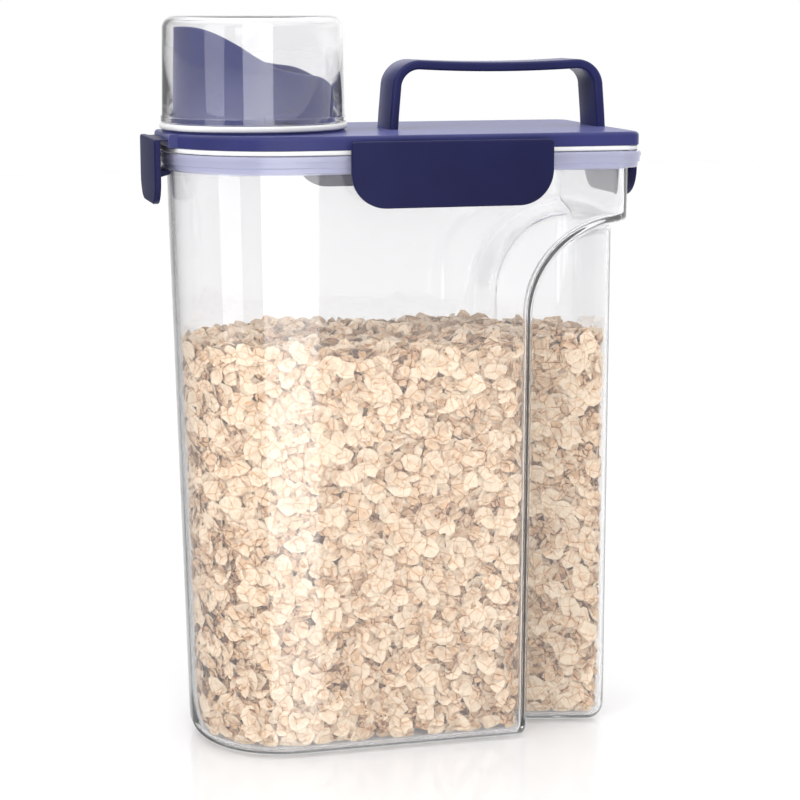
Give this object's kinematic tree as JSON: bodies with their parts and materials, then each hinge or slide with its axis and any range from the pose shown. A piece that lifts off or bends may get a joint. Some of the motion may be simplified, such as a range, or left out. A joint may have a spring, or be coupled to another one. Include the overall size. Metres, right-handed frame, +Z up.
{
  "type": "cereal dispenser",
  "caption": "Tall clear dry-food pour container with hand recesses, clip-on navy lid, swinging side latches, pour spout under a clear measuring cap, and a carrying handle.",
  "frame": {"origin": "centre of the bounding box at the surface the container stands on", "axes": "+Z up; X along the container's length with the pour spout at -X and the hand grip at +X; Y across"},
  "size_m": [0.2, 0.109, 0.3014],
  "materials": {
    "clear_body": "clear, glossy, thin-walled moulding",
    "clear_cap": "clear, glossy, thin-walled moulding",
    "navy_lid": "satin-gloss navy moulding",
    "navy_latch": "satin navy moulding",
    "navy_spout": "satin navy moulding",
    "navy_handle": "satin-gloss navy moulding",
    "white_silicone": "matt white silicone"
  },
  "bodies": {
    "container": {"container_body": "clear_body"},
    "lid": {"lid_shell": "navy_lid", "lid_gasket": "white_silicone", "handle": "navy_handle", "latch_web_near": "navy_latch", "latch_web_far": "navy_latch", "latch_web_front": "navy_latch", "latch_web_back": "navy_latch", "pour_spout": "navy_spout", "spout_seal": "white_silicone", "cap_seal_ring": "white_silicone"},
    "near_latch": {"latch_near": "navy_latch"},
    "far_latch": {"latch_far": "navy_latch"},
    "front_latch": {"latch_front": "navy_latch"},
    "back_latch": {"latch_back": "navy_latch"},
    "cap": {"measuring_cap": "clear_cap"}
  },
  "joints": [
    {"name": "lid_lift", "type": "slide", "parent": "container", "child": "lid", "axis": [0, 0, 1], "range_m": [0, 0.066]},
    {"name": "near_latch_hinge", "type": "hinge", "parent": "lid", "child": "near_latch", "pos_m": [0.0134, -0.0506, 0.2527], "axis": [-1, 0, 0], "range_deg": [0, 110], "deforming": ["latch_web_near"]},
    {"name": "far_latch_hinge", "type": "hinge", "parent": "lid", "child": "far_latch", "pos_m": [0.0134, 0.0506, 0.2527], "axis": [1, 0, 0], "range_deg": [0, 110], "deforming": ["latch_web_far"]},
    {"name": "front_latch_hinge", "type": "hinge", "parent": "lid", "child": "front_latch", "pos_m": [-0.0961, 0, 0.2527], "axis": [0, 1, 0], "range_deg": [0, 110], "deforming": ["latch_web_front"]},
    {"name": "back_latch_hinge", "type": "hinge", "parent": "lid", "child": "back_latch", "pos_m": [0.0961, 0, 0.2527], "axis": [0, -1, 0], "range_deg": [0, 110], "deforming": ["latch_web_back"]},
    {"name": "cap_lift", "type": "slide", "parent": "lid", "child": "cap", "axis": [0, 0, 1], "range_m": [0, 0.06]}
  ]
}
